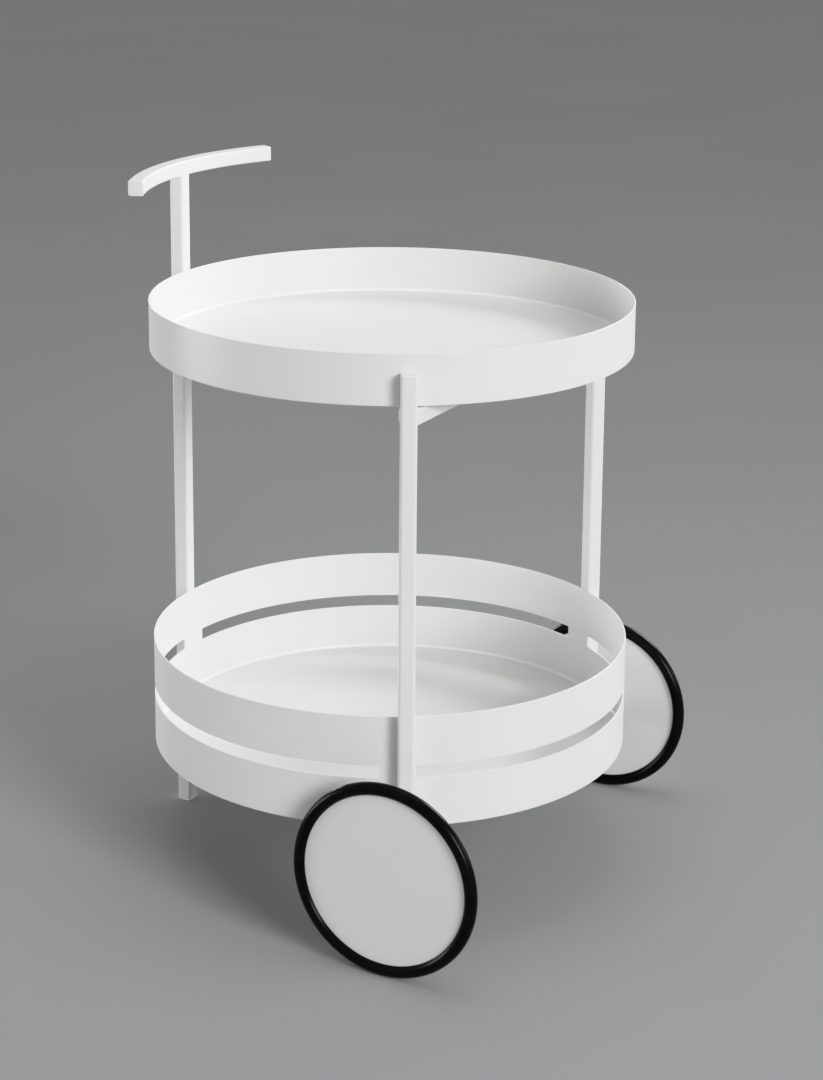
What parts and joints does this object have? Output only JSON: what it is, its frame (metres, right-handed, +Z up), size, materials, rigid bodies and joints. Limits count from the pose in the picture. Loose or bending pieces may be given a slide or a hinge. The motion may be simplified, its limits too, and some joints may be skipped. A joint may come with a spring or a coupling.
{
  "type": "bar cart",
  "caption": "Round tiered bar cart with a lift-off upper tray, a deep slotted lower tray, large disc wheels on one side and a curved push handle.",
  "frame": {"origin": "middle of the cart's outline on the ground: midway between the wheels' outer sides along X, and between the tray edge at the wheel side and the handle post's outer face along Y", "axes": "+X along the wheel axles towards the right wheel, +Y from the wheel side to the handle, +Z up"},
  "size_m": [0.539, 0.5164, 0.731],
  "materials": {
    "powder_coat": "white powder coat, fine satin texture",
    "cap_plastic": "white moulded plastic, matt",
    "tyre_rubber": "black rubber, satin",
    "pad_rubber": "black rubber, matt",
    "nylon": "natural nylon",
    "bright_steel": "turned steel",
    "zinc_plate": "zinc plated"
  },
  "bodies": {
    "cart_frame": {"lower_tray_wall": "powder_coat", "lower_tray_floor": "powder_coat", "lower_tray_studs": "zinc_plate", "stud_washers": "zinc_plate", "cap_nuts": "zinc_plate", "tray_pads": "pad_rubber", "left_leg": "powder_coat", "right_leg": "powder_coat", "leg_caps": "cap_plastic", "handle_post": "powder_coat", "post_foot": "cap_plastic", "handle_bar": "powder_coat", "handle_end_plates": "powder_coat", "upper_cross_bar": "powder_coat", "upper_spine_bar": "powder_coat", "lower_cross_bar": "powder_coat", "lower_spine_bar": "powder_coat", "left_sleeve": "powder_coat", "left_bushes": "nylon", "right_sleeve": "powder_coat", "right_bushes": "nylon"},
    "upper_tray": {"upper_tray_wall": "powder_coat", "upper_tray_floor": "powder_coat"},
    "left_wheel": {"left_disc": "powder_coat", "left_tyre": "tyre_rubber", "left_hub": "powder_coat", "left_axle": "bright_steel", "left_thrust_washers": "nylon", "left_lock_nut": "zinc_plate"},
    "right_wheel": {"right_disc": "powder_coat", "right_tyre": "tyre_rubber", "right_hub": "powder_coat", "right_axle": "bright_steel", "right_thrust_washers": "nylon", "right_lock_nut": "zinc_plate"}
  },
  "joints": [
    {"name": "left_wheel_spin", "type": "hinge", "parent": "cart_frame", "child": "left_wheel", "pos_m": [-0.263, -0.1435, 0.1], "axis": [1, 0, 0], "continuous": true},
    {"name": "right_wheel_spin", "type": "hinge", "parent": "cart_frame", "child": "right_wheel", "pos_m": [0.263, -0.1435, 0.1], "axis": [1, 0, 0], "continuous": true},
    {"name": "upper_tray_lift", "type": "slide", "parent": "cart_frame", "child": "upper_tray", "axis": [0, 0, 1], "range_m": [0, 0.06]}
  ]
}
